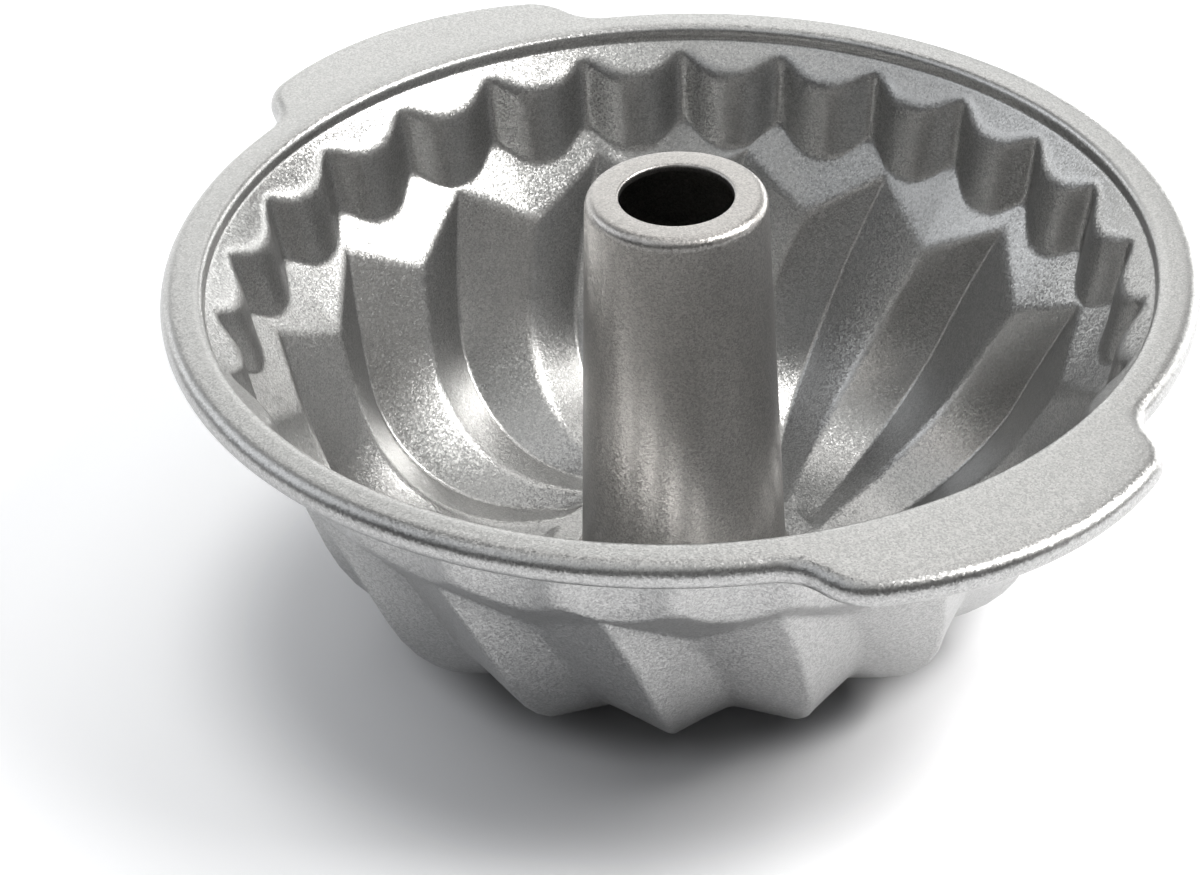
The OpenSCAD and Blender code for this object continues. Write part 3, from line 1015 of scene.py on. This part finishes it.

# %% [markdown]
# The table is a wide white sheet. Lit as the pan is, it would look light grey, so it glows a little for
# the camera and for reflections, which lifts it to white and lets the metal mirror the same white. The
# glow is left out of a disc round the shadow's middle, near the pan's foot: that disc is a painted
# shadow, which keeps the contact shadow dark. The glow rises once more far away, where the lamps reach
# less. Under the pan the sheet is painted a darker grey, a painted shade that keeps the gaps between the
# feet as dark as real ones. Smooth rises with the distance do all three.

# %% Rises across the table
LIFT_FROM, LIFT_FULL, TABLE_LIFT = 0.082, 0.125, 0.34
FAR_FROM, FAR_FULL, FAR_LIFT = 0.35, 1.2, 0.65
# Painted shade under the pan: inside these radii the table's colour is darkened.
PAINTED_SHADE_FROM, PAINTED_SHADE_FULL, PAINTED_SHADE_DARK = 0.068, 0.084, 0.5
# The middle of the painted shadow: the table round it gets no glow, whatever the lamps do.
PAINTED_SHADOW_MIDDLE = studio(-0.018, -0.018, 0)


def eased_step(tree, value, start, end, height):
    """Nothing below start, height above end, and a smooth rise between them."""
    node = tree.nodes.new("ShaderNodeMapRange")
    node.interpolation_type = "SMOOTHSTEP"
    link(tree, value, node.inputs["Value"])
    for name, number in (("From Min", start), ("From Max", end), ("To Min", 0.0), ("To Max", height)):
        node.inputs[name].default_value = number
    return node.outputs["Result"]


print("the shadow's middle lies at", in_mm([PAINTED_SHADOW_MIDDLE]), "mm")

# %% [markdown]
# The table's paint is nearly matt. The Light Path node tells the rays apart: the glow counts for rays
# from the camera, from a reflection or through something clear, and not for the light that the table
# gives to the pan.

# %% Material: white table
TABLE_COLOR = (0.87, 0.875, 0.895)
TABLE_ROUGH = 0.7


def seen_rays(tree):
    """1 for rays from the camera, and for reflected and transmitted ones."""
    rays = tree.nodes.new("ShaderNodeLightPath").outputs
    seen = math_node(tree, "MAXIMUM", rays["Is Camera Ray"], rays["Is Glossy Ray"])
    return math_node(tree, "MAXIMUM", seen, rays["Is Transmission Ray"])


def table_material():
    material = bpy.data.materials.new("white_table")
    material.use_nodes = True
    tree = material.node_tree
    shader = tree.nodes["Principled BSDF"]
    shader.inputs["Roughness"].default_value = TABLE_ROUGH
    place = object_place(tree)
    # Under the pan the base colour is painted darker: painted shade, not the table's own colour.
    outside_painted_shade = eased_step(tree, vector_node(tree, "LENGTH", place), PAINTED_SHADE_FROM, PAINTED_SHADE_FULL, 1.0)
    painted_shade_color = (*(PAINTED_SHADE_DARK * c for c in TABLE_COLOR), 1)
    paint = color_mix(tree, outside_painted_shade, painted_shade_color, (*TABLE_COLOR, 1))
    link(tree, paint, shader.inputs["Base Color"])
    # The glow grows with the distance from the shadow's middle, so the table round it stays darker: a
    # painted shadow.
    from_painted_shadow = vector_node(tree, "SUBTRACT", place, tuple(PAINTED_SHADOW_MIDDLE))
    from_painted_shadow = vector_node(tree, "LENGTH", from_painted_shadow)
    near_lift = eased_step(tree, from_painted_shadow, LIFT_FROM, LIFT_FULL, TABLE_LIFT)
    far_lift = eased_step(tree, from_painted_shadow, FAR_FROM, FAR_FULL, FAR_LIFT)
    lift = math_node(tree, "ADD", near_lift, far_lift)
    shader.inputs["Emission Color"].default_value = (1, 1, 1, 1)
    link(tree, math_node(tree, "MULTIPLY", seen_rays(tree), lift), shader.inputs["Emission Strength"])
    return material


print("grey of the table under the pan:", [round(PAINTED_SHADE_DARK * c, 2) for c in TABLE_COLOR])

# %% [markdown]
# The table itself is one flat face, eight metres wide, so that its edge lies far behind the pan. It
# isn't part of the object.

# %% Table
TABLE_HALF = 4.0

table_mesh = bpy.data.meshes.new("table")
table_corners = [(x * TABLE_HALF, y * TABLE_HALF, 0) for x, y in ((-1, -1), (1, -1), (1, 1), (-1, 1))]
table_mesh.from_pydata(table_corners, [], [(0, 1, 2, 3)])
table = bpy.data.objects.new("table", table_mesh)
bpy.context.scene.collection.objects.link(table)
table.data.materials.append(table_material())
print("table:", 2 * TABLE_HALF, "m wide")

# %% [markdown]
# Beyond the table stands the studio's wall. The camera sees it pure white. Reflections see a white band
# that fades out a little above the horizon, and darkness higher up, because the metal's dark tones come
# from the unlit room over the lamps. A faint glow from all sides stands for the light that a room
# throws back.

# %% World: wall and room
AMBIENT = 0.02
WALL_LIFT = 0.9
HORIZON_FROM = 0.0
HORIZON_FULL = 0.12


def room(tree):
    """Strength of the room's light for each ray."""
    rays = tree.nodes.new("ShaderNodeLightPath").outputs
    mirrored = math_node(tree, "MAXIMUM", rays["Is Glossy Ray"], rays["Is Transmission Ray"])
    height = tree.nodes.new("ShaderNodeSeparateXYZ")
    link(tree, tree.nodes.new("ShaderNodeTexCoord").outputs["Generated"], height.inputs[0])
    dusk = eased_step(tree, height.outputs["Z"], HORIZON_FROM, HORIZON_FULL, WALL_LIFT)
    wall = math_node(tree, "SUBTRACT", WALL_LIFT, dusk)
    strength = math_node(tree, "ADD", math_node(tree, "MULTIPLY", mirrored, wall), AMBIENT)
    return math_node(tree, "MAXIMUM", strength, rays["Is Camera Ray"])


world = bpy.data.worlds.new("studio")
world.use_nodes = True
back = world.node_tree.nodes["Background"]
back.inputs["Color"].default_value = (1, 1, 1, 1)
link(world.node_tree, room(world.node_tree), back.inputs["Strength"])
bpy.context.scene.world = world
bpy.context.scene.view_settings.view_transform = "Standard"
print("nodes in the world:", len(world.node_tree.nodes))
